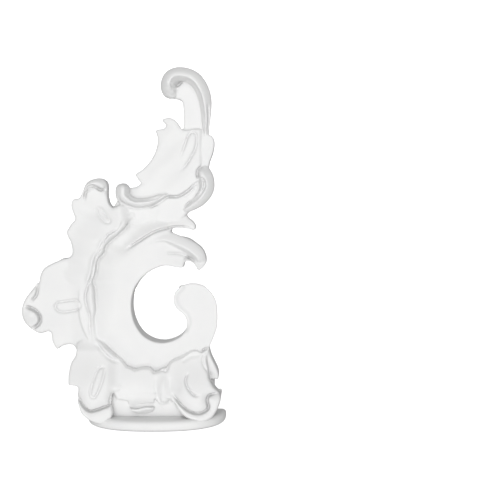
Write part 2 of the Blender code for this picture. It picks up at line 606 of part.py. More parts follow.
# Each stroke is (line, whether it closes, half its width, height; below zero it is cut in).
STROKES = [
    (PILL_SIDE, True, 1.8, -2.5),
    (PILL_FOOT, True, 1.9, -2.4),
    (POD_HIGH, False, 1.8, -2.7),
    (LIP_SIDE, False, 1.8, -3.0),
    (LIP_FOOT, False, 2.6, -2.2),
    (FRILL_FOOT, False, 1.3, -3.6),
    (FOOT_LEFT_CREASE, False, 1.8, -6.5),
    (FOOT_RIGHT_CREASE, False, 1.8, -6.5),
    # the crease above the lower strand, and the fold in its claw
    ([(127, 249), (133, 245), (140, 240.5), (147, 236), (152, 233), (158, 230.5), (165, 228.6), (171, 227.2),
      (178, 226.8), (185, 227), (192, 228.4)], False, 1.9, -4.6),
    ([(167, 253), (180, 254), (186, 256.4), (192, 259.3)], False, 1.8, -2.6),
    ([(184.5, 261), (187, 257.8), (191, 259), (194.6, 263)], False, 1.7, -4.0),
    # the small eyelet of the upper leaf
    ([(97, 209), (100, 217.5), (106, 222.8), (110, 221.5), (105, 214), (100.5, 208.5)], True, 1.7, -1.8),
    # inside the top curl, down its stalk
    ([(168.5, 81), (172, 84.6), (175.5, 85.8), (178.5, 84.6), (181, 81.6), (185, 80), (190, 81.6),
      (194.6, 86), (198, 91), (200.6, 97.5), (202.4, 106), (203.4, 114), (203.8, 124), (203.6, 133)],
     False, 2.0, -5.0),
    ([(208, 104), (208.6, 118), (207.6, 132)], False, 1.5, -2.6),
    # above the ribbon, then inside its right curl
    ([(124, 184), (128, 185.4), (129.4, 189), (128.6, 194), (129.8, 198), (134.5, 200.2), (145, 200.2),
      (152, 199), (158, 197), (163, 194.8)], False, 2.0, -4.8),
    ([(117.6, 196), (120, 201), (126, 205), (134, 207.8), (143, 208.2), (152, 206), (160, 201.6), (167, 197),
      (171, 196.6), (176, 196.8), (181, 195.2), (186, 192), (192, 187), (197, 182.6), (200.5, 181)],
     False, 1.9, -4.8),
    ([(202, 166), (198, 169.5), (197, 174), (198.4, 178.2)], False, 1.6, -3.6),
    ([(197.5, 177.5), (202.6, 179.2), (204.5, 184.3), (202.6, 190.7), (197.4, 197), (191, 202.2),
      (184.7, 207.3)], False, 2.2, -4.6),
    # under the turned-over top of the upper leaf
    ([(84, 200), (85.2, 193), (87.4, 187.8), (91.4, 185.8), (95.4, 187), (99.4, 189.6), (103, 189.8),
      (106.4, 187.6)], False, 1.9, -5.0),
    # the crescent round the lobe's bead and the line of the curl above it
    ([(25, 306.5), (31, 308.6), (36, 311.6), (39.6, 317), (39.4, 322.5), (36, 326.4), (32, 328.6)],
     False, 2.3, -6.5),
    ([(37.5, 285), (36.8, 292), (35, 297), (31.4, 300.4)], False, 1.9, -5.0),
    # under and beside the small curl, and the leaf's pendant beside it
    ([(130, 407.6), (137, 407), (144, 405.8), (153.6, 405)], False, 2.4, -3.5),
    ([(155.2, 399), (155, 405), (153, 411)], False, 1.6, -4.5),
    ([(158.6, 397), (160.4, 402), (164.5, 403.6), (169, 401.6), (171, 397)], False, 1.7, -1.8),
    # the end of the frill, then the half pod and the folded edge of the right foot
    ([(202, 351.6), (204.5, 349.4), (209.5, 348)], False, 1.7, -3.0),
    ([(188, 373.5), (185.4, 380), (187, 387), (190.6, 392.6), (195.4, 396.2), (199, 395.6)], False, 1.7, -3.6),
    ([(205.6, 353.3), (202.4, 359), (204.4, 367), (208.9, 372.8), (214.4, 375.6)], False, 1.8, -2.0),
]


def half_oval(half_width, depth, low, high, squareness, rounding, name, collection):
    """A half-oval block against the wall, its sizes and levels in steps, with rounded upper and lower edges."""
    curve = bpy.data.curves.new(name, "CURVE")
    curve.dimensions = "2D"
    curve.fill_mode = "BOTH"
    curve.extrude = (high - low) / 2 - rounding
    curve.bevel_depth = rounding
    curve.bevel_resolution = 3
    half_width = half_width - rounding
    depth = depth - rounding
    sides = 44
    line = curve.splines.new("POLY")
    line.points.add(sides + 2)
    middle = foot_middle()
    for i in range(sides + 1):
        turn = math.pi * i / sides
        u = half_width * math.copysign(abs(math.cos(turn)) ** squareness, math.cos(turn))
        line.points[i + 1].co = (middle + u, -depth * math.sin(turn) ** squareness, 0.0, 1.0)
    line.points[0].co = (middle + half_width, BEHIND, 0.0, 1.0)
    line.points[sides + 2].co = (middle - half_width, BEHIND, 0.0, 1.0)
    line.use_cyclic_u = True
    mesh = from_curve(curve, collection)
    rows = corners_of(mesh)
    rows[:, 2] += (low + high) / 2
    set_corners(mesh, rows)
    turn_outward(mesh)
    return object_of(mesh, name, collection)


def foot_blocks(collection):
    low = -(FOOT_BELOW_EYE + ORIGIN_V)
    high = low + FOOT_THICKNESS / STEP
    drum_high = high + DRUM_RISE / STEP
    rounding = FOOT_ROUNDING * FOOT_THICKNESS / STEP
    size = (FOOT_HALF_WIDTH / STEP, FOOT_DEPTH / STEP)
    ledge = half_oval(*size, low, high, FOOT_SQUARENESS, rounding, "ledge", collection)
    size = (DRUM_HALF_WIDTH / STEP, DRUM_DEPTH / STEP)
    drum = half_oval(*size, low + 1.0, drum_high, DRUM_SQUARENESS, 0.0, "drum", collection)
    return ledge, drum, low


def block(low_corner, high_corner, name, collection):
    shape = bmesh.new()
    bmesh.ops.create_cube(shape, size=1.0)
    for corner in shape.verts:
        corner.co = [
            low_corner[i] + (corner.co[i] + 0.5) * (high_corner[i] - low_corner[i]) for i in range(3)
        ]
    mesh = bpy.data.meshes.new(name)
    shape.to_mesh(mesh)
    shape.free()
    return object_of(mesh, name, collection)


def boolean(holder, cutter, operation):
    change = holder.modifiers.new(cutter.name, "BOOLEAN")
    change.operation = operation
    change.object = cutter
    change.solver = "MANIFOLD"


def carving(collection):
    """All slabs and rolls fused and engraved, in steps."""
    meshes = [
        slab(BODY, FLAT, body_face, collection, ball_undercut),
        slab(LEAF_SIDE, LEAF_SIDE_RIM, leaf_side_face, collection),
        slab(LOBE, LOBE_RIM, lobe_face, collection),
        slab(FOOT_LEFT, FOOT_RIM, foot_left_face, collection),
        slab(FOOT_MIDDLE, FOOT_RIM, foot_middle_face, collection),
        slab(FOOT_RIGHT, FOOT_RIGHT_RIM, foot_right_face, collection, foot_undercut),
        slab(FOLD_RIGHT, FOLD_RIM, flat(FOLD_RIM), collection),
        slab(LEAFLET, LEAFLET_RIM, flat(LEAFLET_RIM), collection),
        slab(CURL_UNDER, CURL_RIM, curl_face, collection),
        slab(STRAP, STRAP_RIM, flat(STRAP_RIM), collection),
        slab(LEAF_HIGH, LEAF_HIGH_RIM, leaf_high_face, collection),
        slab(RIBBON, RIBBON_RIM, ribbon_face, collection),
    ]
    for ridge, rise, points in ROLLS:
        meshes.append(roll(ridge, rise, points, collection))
    fused = remeshed(joined(meshes), FUSE_SIZE, collection)
    outer_shell(fused)
    engraved(fused, STROKES)
    fused = remeshed(fused, FUSE_SIZE, collection)
    rows = corners_of(fused)
    rows[:, 1] *= BODY_DEPTH / STEP / FLAT
    set_corners(fused, rows)
    return fused


def foot_middle():
    return float(place(FOOT_CENTRE_X, 410.0, 0.0)[0])


def to_row_frame(mesh, low):
    """Steps from the wall become metres from the middle of the foot's underside."""
    rows = (corners_of(mesh) - np.array([foot_middle(), 0.0, low])) * STEP
    rows[:, 1] += FOOT_DEPTH / 2
    set_corners(mesh, rows)


def build():
    for item in list(bpy.data.objects):
        bpy.data.objects.remove(item)
    made = bpy.data.collections.new(NAME)
    bpy.context.scene.collection.children.link(made)
    cutters = bpy.data.collections.new("cutters")
    bpy.context.scene.collection.children.link(cutters)

    solid = object_of(carving(cutters), "carving", cutters)
    fewer = solid.modifiers.new("fewer", "DECIMATE")
    triangles = sum(len(face.vertices) - 2 for face in solid.data.polygons)
    fewer.ratio = TRIANGLES / triangles
    ledge, drum, low = foot_blocks(cutters)
    boolean(solid, drum, "UNION")
    boolean(solid, ledge, "UNION")
    boolean(solid, block((-900, -900, low), (900, 0.0, 900), "room", cutters), "INTERSECT")
    finished = evaluated(solid)
    to_row_frame(finished, low)

    finish = bpy.data.materials.new("cast_white")
    finish.use_nodes = True
    shader = finish.node_tree.nodes["Principled BSDF"]
    shader.inputs["Base Color"].default_value = (0.8, 0.8, 0.79, 1.0)
    shader.inputs["Roughness"].default_value = 0.6
    finished.materials.clear()
    finished.materials.append(finish)
    object_of(finished, NAME, made)
    for item in list(cutters.objects):
        item.hide_render = True
        item.display_type = "WIRE"


build()
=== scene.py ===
"""The look of the scroll ornament: its fine carved skin, white cast finish, camera, floor and soft light."""

import json
import math

import bmesh
import bpy
import numpy as np
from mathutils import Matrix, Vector

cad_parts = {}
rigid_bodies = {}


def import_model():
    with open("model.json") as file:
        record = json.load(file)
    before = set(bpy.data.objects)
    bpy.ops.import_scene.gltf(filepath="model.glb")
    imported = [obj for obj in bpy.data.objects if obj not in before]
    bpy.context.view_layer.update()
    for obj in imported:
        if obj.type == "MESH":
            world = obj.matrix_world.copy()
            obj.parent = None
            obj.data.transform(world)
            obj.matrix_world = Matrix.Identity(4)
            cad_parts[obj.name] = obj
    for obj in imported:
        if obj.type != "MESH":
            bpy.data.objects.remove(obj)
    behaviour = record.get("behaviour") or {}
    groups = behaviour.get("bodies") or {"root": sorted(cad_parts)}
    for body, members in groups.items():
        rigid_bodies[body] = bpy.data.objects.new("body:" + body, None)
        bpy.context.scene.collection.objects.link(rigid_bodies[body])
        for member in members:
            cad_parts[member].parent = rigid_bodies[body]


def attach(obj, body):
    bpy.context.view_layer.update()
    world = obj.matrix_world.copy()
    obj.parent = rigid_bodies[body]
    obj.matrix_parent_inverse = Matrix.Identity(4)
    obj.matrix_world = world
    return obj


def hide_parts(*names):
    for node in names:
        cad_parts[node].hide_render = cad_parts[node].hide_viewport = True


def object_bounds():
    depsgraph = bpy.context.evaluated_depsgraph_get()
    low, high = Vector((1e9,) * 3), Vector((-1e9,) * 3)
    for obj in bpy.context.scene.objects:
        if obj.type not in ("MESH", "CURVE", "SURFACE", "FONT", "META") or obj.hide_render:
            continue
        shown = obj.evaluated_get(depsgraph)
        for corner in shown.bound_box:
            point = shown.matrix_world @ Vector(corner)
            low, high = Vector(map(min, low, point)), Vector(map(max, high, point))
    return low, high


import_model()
CAD_BOX = [list(corner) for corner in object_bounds()]

# Driving sizes, in metres.
HEIGHT = 0.350  # underside of the foot to the top of the curl
FOOT_HALF_WIDTH = 0.0695
FOOT_DEPTH = 0.045  # wall to the front of the foot
FOOT_THICKNESS = 0.0108
DRUM_HALF_WIDTH = 0.058  # the plain bowed block between the foot and the leaves
DRUM_DEPTH = 0.0265
DRUM_RISE = 0.034
BODY_DEPTH = 0.020  # the flat face of the big C-shaped body

# The sheet: one step is a 350th of the height, x runs right and y runs down.
STEP = HEIGHT / 350
SHEET_MIDDLE = 250.0
EYE_DISTANCE = 750.0  # steps from the wall to the eye
EYE_ABOVE = 58.0  # steps from the sheet's middle up to the eye's height
DRAWN_FROM = (113.0, 300.0)  # the point of the wall that the carving is measured from while it is made
FOOT_BELOW_EYE = 230.3
FOOT_CENTRE_X = 158.0
FOOT_SQUARENESS = 0.82  # 1 is a true half oval, less is squarer
DRUM_SQUARENESS = 0.5
FOOT_ROUNDING = 0.37  # radius of the ledge's edges, in its thickness
BEHIND = 12.0  # steps that blocks run on behind the wall plane before they are cut off there
ROOM = 900.0  # steps, half the size of the block in front of the wall that the casting is kept in
FOOT_LEVEL_Y = 410.0  # where the foot's middle is read

FUSE_SIZE = 0.72  # steps, grain of the fused skin
SLAB_SIZE = 0.95  # steps, grain of each slab before it is fused
EDGE_GAIN = 0.5  # steps added to every slab's outline, for what its grain rounds off
ROLL_ROUND = 0.3  # 1 makes a roll's crown a half round, 0 a gable
TRIANGLES = 185000  # left in the carving, before the foot is added
TIP = 1  # third value of an outline point that is a sharp tip or notch

# Heights off the wall, in steps, at which each slab's outline is seen.
FLAT = 20.0  # the body's flat face while it is made, before it is set to BODY_DEPTH
LEAF_SIDE_RIM = 11.0
LOBE_RIM = 12.0
FOOT_RIM = 22.0
FOOT_RIGHT_RIM = 26.0
FOLD_RIM = 18.0
LEAFLET_RIM = 12.0
CURL_RIM = 30.0
STRAP_RIM = 10.0
LEAF_HIGH_RIM = 9.0
RIBBON_RIM = 12.0

TILT = math.atan2(EYE_ABOVE, EYE_DISTANCE)
FOCUS = EYE_DISTANCE / math.cos(TILT)


def on_wall(x, y, depth):
    """Where a point of the sheet lies on the plane this far in front of the wall, in steps from the eye."""
    across = np.asarray(x, float) - SHEET_MIDDLE
    down = np.asarray(y, float) - SHEET_MIDDLE
    forward = FOCUS * math.cos(TILT) - down * math.sin(TILT)
    fall = -FOCUS * math.sin(TILT) - down * math.cos(TILT)
    reach = (EYE_DISTANCE - depth) / forward
    return across * reach, fall * reach


ORIGIN_U, ORIGIN_V = on_wall(DRAWN_FROM[0], DRAWN_FROM[1], 0.0)


def place(x, y, depth):
    u, v = on_wall(x, y, depth)
    return u - ORIGIN_U, v - ORIGIN_V


def as_seen(u, v, depth):
    """The point of the sheet where the eye sees a point of the ornament."""
    forward = (EYE_DISTANCE - depth) * math.cos(TILT) - (v + ORIGIN_V) * math.sin(TILT)
    fall = (EYE_DISTANCE - depth) * math.sin(TILT) + (v + ORIGIN_V) * math.cos(TILT)
    return SHEET_MIDDLE + (u + ORIGIN_U) * FOCUS / forward, SHEET_MIDDLE - fall * FOCUS / forward


def smooth(points, closed=True, spacing=1.5):
    """A flowing line through the points, with a corner at each point marked as a tip."""
    corner = [len(p) > 2 and p[2] == TIP for p in points]
    place_of = np.array([p[:2] for p in points], float)
    return flowing(place_of, corner, closed, spacing)


def flowing(rows, corner, closed, spacing):
    count = len(rows)
    found = []
    last = count if closed else count - 1
    for i in range(last):
        j = (i + 1) % count
        before = rows[i - 1] if closed or i > 0 else rows[i]
        after = rows[(j + 1) % count] if closed or j + 1 < count else rows[j]
        start, end = rows[i], rows[j]
        length = np.linalg.norm(end[:2] - start[:2])
        leave = end - start if corner[i] else end - before
        arrive = end - start if corner[j] else after - start
        leave = leave / max(np.linalg.norm(leave[:2]), 1e-6) * length
        arrive = arrive / max(np.linalg.norm(arrive[:2]), 1e-6) * length
        pieces = max(1, int(round(length / spacing)))
        for k in range(pieces):
            t = k / pieces
            found.append(
                (2 * t**3 - 3 * t**2 + 1) * start
                + (t**3 - 2 * t**2 + t) * leave
                + (3 * t**2 - 2 * t**3) * end
                + (t**3 - t**2) * arrive
            )
    if not closed:
        found.append(rows[-1])
    return np.array(found)


def distance_to(x, y, line, closed=False):
    """Distance from each point to a line, and the share of the line's length where it is nearest."""
    a = line if closed else line[:-1]
    b = np.roll(line, -1, axis=0) if closed else line[1:]
    along = b - a
    squared = np.maximum((along**2).sum(axis=1), 1e-9)
    lengths = np.sqrt(squared)
    starts = np.concatenate([[0.0], np.cumsum(lengths)[:-1]])
    best = np.full(len(x), 1e9)
    share = np.zeros(len(x))
    for i in range(len(a)):
        t = ((x - a[i, 0]) * along[i, 0] + (y - a[i, 1]) * along[i, 1]) / squared[i]
        t = np.clip(t, 0.0, 1.0)
        d = np.hypot(x - a[i, 0] - t * along[i, 0], y - a[i, 1] - t * along[i, 1])
        nearer = d < best
        best[nearer] = d[nearer]
        share[nearer] = (starts[i] + t[nearer] * lengths[i]) / lengths.sum()
    return best, share


def grown(line, gain):
    """A closed line pushed outward by this much, to make up for the grain that rounds every edge off."""
    ahead = np.roll(line, -1, axis=0) - np.roll(line, 1, axis=0)
    ahead /= np.maximum(np.linalg.norm(ahead, axis=1, keepdims=True), 1e-6)
    area = np.sum(line[:, 0] * np.roll(line[:, 1], -1) - np.roll(line[:, 0], -1) * line[:, 1])
    return line + gain * math.copysign(1.0, area) * np.stack([ahead[:, 1], -ahead[:, 0]], axis=1)


def ease(t):
    t = np.clip(t, 0.0, 1.0)
    return t * t * (3 - 2 * t)


def shoulder(inside, width):
    """Rises from 0 at the edge to 1 this far inside it, as a quarter round."""
    return np.sqrt(1 - (1 - np.clip(inside / width, 0.0, 1.0)) ** 2)


def object_of(mesh, name, collection):
    made = bpy.data.objects.new(name, mesh)
    collection.objects.link(made)
    return made


def from_curve(curve, collection):
    """The mesh of a curve, with its caps welded."""
    holder = bpy.data.objects.new("curve", curve)
    collection.objects.link(holder)
    mesh = bpy.data.meshes.new_from_object(holder)
    bpy.data.objects.remove(holder)
    shape = bmesh.new()
    shape.from_mesh(mesh)
    bmesh.ops.remove_doubles(shape, verts=shape.verts, dist=0.0005)
    shape.to_mesh(mesh)
    shape.free()
    return mesh


def evaluated(holder):
    """The mesh an object has with its modifiers, and the object is removed."""
    graph = bpy.context.evaluated_depsgraph_get()
    mesh = bpy.data.meshes.new_from_object(holder.evaluated_get(graph))
    bpy.data.objects.remove(holder)
    return mesh


def remeshed(mesh, size, collection):
    holder = object_of(mesh, "grain", collection)
    grain = holder.modifiers.new("grain", "REMESH")
    grain.mode = "VOXEL"
    grain.voxel_size = size
    return evaluated(holder)


def corners_of(mesh):
    rows = np.empty(len(mesh.vertices) * 3)
    mesh.vertices.foreach_get("co", rows)
    return rows.reshape(-1, 3)


def set_corners(mesh, rows):
    mesh.vertices.foreach_set("co", rows.ravel())
    mesh.update()


def slab(outline, rim, face, collection, undercut=None):
    """A flat-backed slab cut to an outline seen at its rim; face(x, y, inside) is its height off the wall.

    undercut(x, y), where given, is how far right and up the foot of a wall stands from its rim.
    """
    seen = grown(smooth(outline), EDGE_GAIN)
    u, v = place(seen[:, 0], seen[:, 1], rim)
    curve = bpy.data.curves.new("outline", "CURVE")
    curve.dimensions = "2D"
    curve.fill_mode = "BOTH"
    curve.extrude = rim / 2
    line = curve.splines.new("POLY")
    line.points.add(len(u) - 1)
    for i in range(len(u)):
        line.points[i].co = (u[i], v[i], 0.0, 1.0)
    line.use_cyclic_u = True
    mesh = from_curve(curve, collection)
    rows = corners_of(mesh)
    set_corners(mesh, np.stack([rows[:, 0], rows[:, 2] - rim / 2, rows[:, 1]], axis=1))
    turn_outward(mesh)
    mesh = remeshed(mesh, SLAB_SIZE, collection)
    rows = corners_of(mesh)
    edge = np.stack([u, v], axis=1)
    inside, _ = distance_to(rows[:, 0], rows[:, 2], edge, closed=True)
    x, y = as_seen(rows[:, 0], rows[:, 2], rim)
    height = face(x, y, inside)
    nearer = (EYE_DISTANCE - height) / (EYE_DISTANCE - rim)
    rows[:, 0] = (rows[:, 0] + ORIGIN_U) * nearer - ORIGIN_U
    rows[:, 2] = (rows[:, 2] + ORIGIN_V) * nearer - ORIGIN_V
    back = rows[:, 1] > -0.3
    rows[:, 1] = np.where(back, 2.5, rows[:, 1] * height / rim)
    if undercut:
        right, up = undercut(x, y)
        behind = np.clip(1 + rows[:, 1] / height, 0.0, 1.0)
        rows[:, 0] += right * behind
        rows[:, 2] += up * behind
    set_corners(mesh, rows)
    return mesh


def turn_outward(mesh):
    shape = bmesh.new()
    shape.from_mesh(mesh)
    bmesh.ops.recalc_face_normals(shape, faces=shape.faces)
    shape.to_mesh(mesh)
    shape.free()


def roll(ridge, rise, points, collection):
    """A tapering roll through (x, y, depth of its middle, radius), joined to the wall by its own stem.

    Its crown is a soft ridge, this share of the radius to the right of the line's run, and this many
    radii high.
    """
    rows = flowing(np.array(points, float), [False] * len(points), False, 1.5)
    u, v = place(rows[:, 0], rows[:, 1], rows[:, 2])
    radius = rows[:, 3].copy()
    path = np.stack([u, -rows[:, 2], v], axis=1)
    run = np.concatenate([[0.0], np.cumsum(np.linalg.norm(np.diff(path, axis=0), axis=1))])
    for gap in (run, run[-1] - run):
        reach = np.clip(gap / np.maximum(radius, 1e-6), 0.0, 1.0)
        radius = radius * np.sqrt(np.maximum(1 - (1 - reach) ** 2, 0.003))
    curve = bpy.data.curves.new("roll", "CURVE")
    curve.dimensions = "3D"
    curve.bevel_depth = 1.0
    curve.bevel_resolution = 5
    curve.use_fill_caps = True
    line = curve.splines.new("POLY")
    line.points.add(len(path) - 1)
    for i in range(len(path)):
        line.points[i].co = (*path[i], 1.0)
        line.points[i].radius = radius[i]
    mesh = from_curve(curve, collection)
    rows = corners_of(mesh)
    gap = (rows[:, None, 0] - path[None, :, 0]) ** 2 + (rows[:, None, 2] - path[None, :, 2]) ** 2
    nearest = gap.argmin(axis=1)
    middle, size = path[nearest], radius[nearest]
    heading = np.gradient(path[:, [0, 2]], axis=0)[nearest]
    heading /= np.linalg.norm(heading, axis=1, keepdims=True)
    aside = (rows[:, 0] - middle[:, 0]) * heading[:, 1] - (rows[:, 2] - middle[:, 2]) * heading[:, 0]
    aside = np.clip(aside / size, -1.0, 1.0)
    gable = 1 - np.abs(aside - ridge) / np.where(aside > ridge, 1 - ridge, 1 + ridge)
    crown = ROLL_ROUND * np.sqrt(1 - aside**2) + (1 - ROLL_ROUND) * gable
    ahead = rows[:, 1] < middle[:, 1]
    rows[ahead, 1] = (middle[:, 1] - rise * size * crown)[ahead]
    rows[rows[:, 1] > middle[:, 1] + 0.35 * size, 1] = 2.5
    set_corners(mesh, rows)
    return mesh


def joined(meshes):
    whole = bmesh.new()
    for mesh in meshes:
        whole.from_mesh(mesh)
        bpy.data.meshes.remove(mesh)
    mesh = bpy.data.meshes.new("joined")
    whole.to_mesh(mesh)
    whole.free()
    return mesh


def outer_shell(mesh):
    """Drops the sealed pockets and crumbs that fusing leaves, keeping the piece with the most corners."""
    shape = bmesh.new()
    shape.from_mesh(mesh)
    waiting = set(shape.verts)
    pieces = []
    while waiting:
        edge = [waiting.pop()]
        piece = list(edge)
        while edge:
            for link in edge.pop().link_edges:
                for corner in link.verts:
                    if corner in waiting:
                        waiting.discard(corner)
                        edge.append(corner)
                        piece.append(corner)
        pieces.append(piece)
    pieces.sort(key=len)
    for piece in pieces[:-1]:
        bmesh.ops.delete(shape, geom=piece, context="VERTS")
    shape.to_mesh(mesh)
    shape.free()


def normals_of(mesh):
    rows = np.empty(len(mesh.vertices) * 3)
    mesh.vertices.foreach_get("normal", rows)
    return rows.reshape(-1, 3)


def engraved(mesh, strokes):
    """Raises or cuts each stroke (line, closed, half width, height) in the faces that look forward."""
    rows = corners_of(mesh)
    ahead = np.clip((-normals_of(mesh)[:, 1] - 0.25) / 0.4, 0.0, 1.0)
    x, y = as_seen(rows[:, 0], rows[:, 2], -rows[:, 1])
    lift = np.zeros(len(rows))
    for line, closed, half, height in strokes:
        path = smooth(line, closed)
        near = (
            (x > path[:, 0].min() - half)
            & (x < path[:, 0].max() + half)
            & (y > path[:, 1].min() - half)
            & (y < path[:, 1].max() + half)
        )
        if not near.any():
            continue
        gap, share = distance_to(x[near], y[near], path, closed)
        bump = np.clip(1 - gap / half, 0.0, 1.0)
        fade = 1.0 if closed else np.clip(np.minimum(share, 1 - share) * 7 + 0.15, 0.0, 1.0)
        lift[near] += height * bump * fade
    rows[:, 1] -= lift * ahead
    set_corners(mesh, rows)


# The frilled line where the leaves lie over the body, from the top round to the right foot.
FRILL_TOP = [
    (136, 216.5), (132, 218.5), (128, 220.5), (126.5, 223), (125, 226), (119, 232), (116, 235), (113, 237),
    (106, 243.5), (103.5, 247), (103, 251), (101, 254.5), (97, 258),
]
FRILL_SIDE = [
    (97, 258), (95.2, 262.5), (94.5, 271), (91.5, 279), (91.2, 283), (93.2, 288), (93.8, 298), (94.9, 310),
    (93.8, 319), (94.6, 325), (96.5, 337),
]
FRILL_FOOT = [
    (96.5, 337), (99, 340.2), (103, 342.6), (107, 347.6), (112, 352), (117, 356), (121, 359.2), (124, 363),
    (126.6, 366.8, TIP), (131, 368), (135, 370), (139, 368.8), (144, 367.9), (150, 368.2),
    (152.6, 371.4, TIP),
    (153.6, 372.8), (158, 371.6), (162, 370.6), (166.4, 371.4), (167.6, 368, TIP), (169.6, 363.4),
    (173.6, 360.2), (179, 358), (184, 355.6), (192, 350.4), (197, 350), (201.5, 351.9), (204.5, 348.9),
    (209, 348),
]
# The outer line of the lip along the frill.
LIP_SIDE = [
    (121, 221.5), (117, 229), (110, 233), (105, 238), (101, 246), (96.5, 255), (93.5, 266), (90.6, 278.5),
    (87.3, 286.7), (85, 296), (86.2, 305.3), (89.5, 316), (89.7, 326.3), (91, 337),
]
LIP_FOOT = [(95, 342), (99, 347), (103, 352.5), (108, 357.5), (113, 360.5), (119, 362.5)]
BODY = [
    (184, 210, TIP), (188, 218), (192, 221), (195.3, 226), (194.5, 229.8, TIP), (184, 228), (174, 227.8),
    (169, 230.8, TIP), (173, 235), (183, 237.5), (189, 239), (195, 243), (202, 249), (206, 258), (205, 264),
    (198.5, 270.8, TIP), (195.3, 265), (191, 261.2), (186.5, 260.6), (183.8, 263), (183, 267.6, TIP),
    (176, 267.0), (166, 265.2), (154.2, 268.6), (143.2, 275.8), (134.2, 288), (130.8, 303),
    (133, 320), (141.2, 334.3),
    (153.2, 341.8), (166, 342.8), (178.6, 338.2), (186.2, 329.8), (187, 321.4), (184.2, 315), (176, 307.6),
    (173.2, 298.4), (176.4, 290.6), (184.4, 285), (193, 283.4), (202.5, 285.2), (210.5, 291), (215.8, 300),
    (217.4, 312), (216.8, 327), (213.6, 337), (210, 345), (206, 362, TIP), (168, 384, TIP), (120, 372),
    (92, 345), (80, 318), (80, 285), (88, 258), (102, 234), (122, 212), (140, 203, TIP),
]
LEAF_SIDE = [
    (58, 280, TIP), (60, 260.5), (68, 258.5), (72.3, 254), (71.5, 244), (68, 236.5), (66.5, 232, TIP),
    (71.5, 224), (75.3, 219.5), (73, 212), (71.3, 206), (72.7, 199.6, TIP), (79, 198.5), (82.5, 192),
    (86.5, 183.6), (93, 179.8), (100, 178.6), (105, 181.5), (106.8, 187), (106.8, 196), (108.6, 204.5),
    (112.6, 208.8, TIP), (124, 203, TIP),
] + FRILL_TOP + FRILL_SIDE[1:4] + [(78, 290, TIP)]
LOBE = [
    (96, 362, TIP), (74.5, 361, TIP), (77, 351), (72.5, 344.6), (64, 345), (57, 349, TIP), (52.8, 342),
    (51.5, 333.4, TIP), (49, 331), (40, 333), (30, 327.5), (24, 320.5), (21.8, 311), (25, 300), (31.3, 291.5),
    (38.5, 285), (40.4, 276), (44, 269), (52, 264), (63, 259.6), (71.5, 257), (84, 246, TIP),
] + FRILL_SIDE + [(99, 350)]
FOOT_LEFT = [
    (111.7, 393, TIP), (110.8, 400), (110.2, 405), (111.7, 411), (111.8, 415.5), (109.5, 419.8),
    (105.5, 422.8), (99, 423.8), (92, 421.6), (86, 418), (81.4, 413.4), (79, 407), (77.6, 400),
    (78.5, 388.5, TIP), (77, 386.3),
    (68.2, 385, TIP), (69, 373), (71.5, 363), (76, 355), (77, 344, TIP), (92, 334, TIP),
] + FRILL_FOOT[:9] + [(122, 388, TIP)]
FOOT_LEFT_CREASE = [
    (77.5, 396), (81.2, 403.4), (85.3, 408.6), (90.6, 411.4), (97, 410.1), (104, 407.5), (109.3, 405.2),
    (110.5, 399), (113, 392),
]
FOOT_MIDDLE = [(100, 346, TIP), (117, 357, TIP)] + FRILL_FOOT[7:24] + [
    (190, 385, TIP), (175, 399), (167, 403.8), (161, 403.8), (156, 400, TIP), (129, 400.5, TIP),
    (117, 399.5, TIP), (113, 391), (96, 380, TIP),
]
FOOT_RIGHT = [
    (160, 371), (168, 367), (173.3, 360.4), (184, 355.6), (192, 350.6), (197, 350), (202, 352),
    (206, 350, TIP),
    (206.5, 360), (207.8, 371), (208.4, 378, TIP), (211.4, 384), (214.6, 388.6), (218, 392), (220.4, 397),
    (219.4, 403.5),
    (216.2, 411), (211, 418), (203, 421.5), (194, 420.6), (185.5, 417), (179, 410), (173.5, 401.5),
    (160, 396, TIP),
]
FOLD_RIGHT = [
    (204, 348, TIP), (208.2, 347.5, TIP), (210.6, 357), (215.4, 366.8), (218, 373.8), (218, 379.3, TIP),
    (208, 378.5, TIP), (200, 374, TIP), (197, 355, TIP),
]
FOOT_RIGHT_CREASE = [
    (173, 395), (177.8, 401.5), (182, 406.3), (187, 410.2), (193.3, 413.2), (199.5, 413.8), (205, 411.5),
    (208.4, 407.6), (207, 401.5), (208.2, 396.6), (212.8, 394.4), (217.2, 393),
]
STRAP = [
    (184, 132, TIP), (183.4, 105), (181, 99.8), (172, 97.5), (166, 88), (170, 76), (184, 72), (196, 73.5),
    (204.5, 82), (208.5, 95), (209.3, 112), (208, 134), (206, 146, TIP), (190, 146, TIP),
]
LEAF_HIGH = [
    (184, 130.5), (179.5, 127), (176, 121.8), (170, 118), (162, 119.5, TIP), (166, 127), (155.7, 130.3, TIP),
    (158, 140), (155.5, 152), (150, 162), (143, 169.5), (135.3, 174.5, TIP), (139, 180), (142, 183.5, TIP),
    (136, 187.3), (130, 188.3), (126, 191, TIP), (134, 203), (150, 205), (168, 202), (186, 196), (200, 180),
    (208.5, 167, TIP), (207.5, 150), (206, 140), (203, 130),
]
LEAFLET = [
    (203, 131, TIP), (208, 134.8), (211.5, 136), (213.8, 141), (213, 151), (209, 163), (208, 172, TIP),
    (200, 168, TIP),
]
CURL_UNDER = [
    (127, 394, TIP), (128.8, 405), (132, 411), (142, 413.8), (151.5, 412), (154, 406), (156, 394, TIP),
]
RIBBON = [
    (124, 190, TIP), (128, 203), (140, 206), (158, 199), (167, 193.5), (178, 195), (192, 187),
    (201, 176, TIP),
    (212, 176), (212, 190), (202, 202), (186, 214, TIP), (176, 222), (150, 222), (128, 224, TIP),
    (112, 210, TIP),
]
# Soft channels in the faces: the ball's inner rim, the hollow below the ribbon and a fold of the right foot.
BALL_RIM = [(183, 287), (175.5, 296), (178, 306), (186, 314), (189, 322), (186, 331)]
COVE = [(122, 246), (134, 233), (150, 224), (166, 219)]
FOOT_RIGHT_FOLD = [(184, 360.5), (190, 356.5), (198, 355)]


